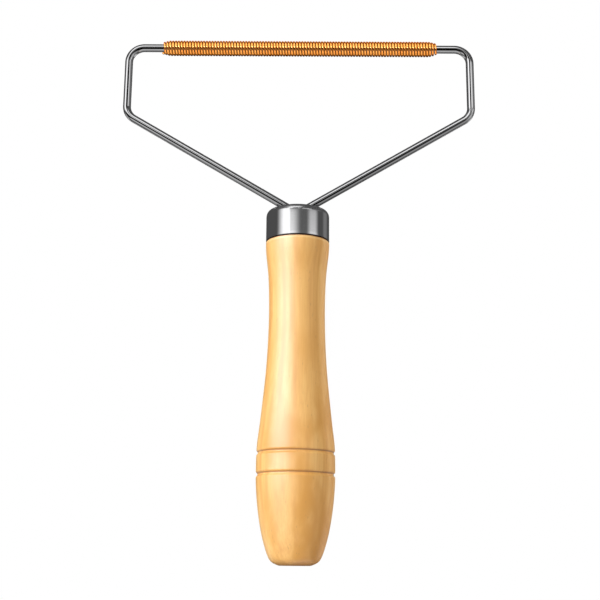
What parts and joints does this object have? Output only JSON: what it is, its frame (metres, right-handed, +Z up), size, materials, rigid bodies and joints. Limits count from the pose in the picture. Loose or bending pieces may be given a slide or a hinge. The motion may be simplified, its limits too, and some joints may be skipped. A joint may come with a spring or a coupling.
{
  "type": "coil scraper hand tool",
  "caption": "Hand scraper: a turned wooden handle with a steel ferrule holds a bent wire frame, whose top bar carries a close-wound copper-coloured coil.",
  "frame": {"origin": "centre of the flat base of the handle", "axes": "+Z up the handle's axis towards the coil, +X along the coil, +Y square to the plane of the wire frame"},
  "size_m": [0.1254, 0.0262, 0.1841],
  "materials": {
    "wood": "pale hardwood under satin lacquer",
    "ferrule_steel": "bright nickel plate",
    "wire_steel": "bright drawn wire",
    "coil_wire": "polished, golden copper colour",
    "resin": "cured adhesive"
  },
  "bodies": {
    "root": {"handle": "wood", "ferrule": "ferrule_steel", "wire_frame": "wire_steel", "coil": "coil_wire", "adhesive": "resin"}
  },
  "joints": []
}
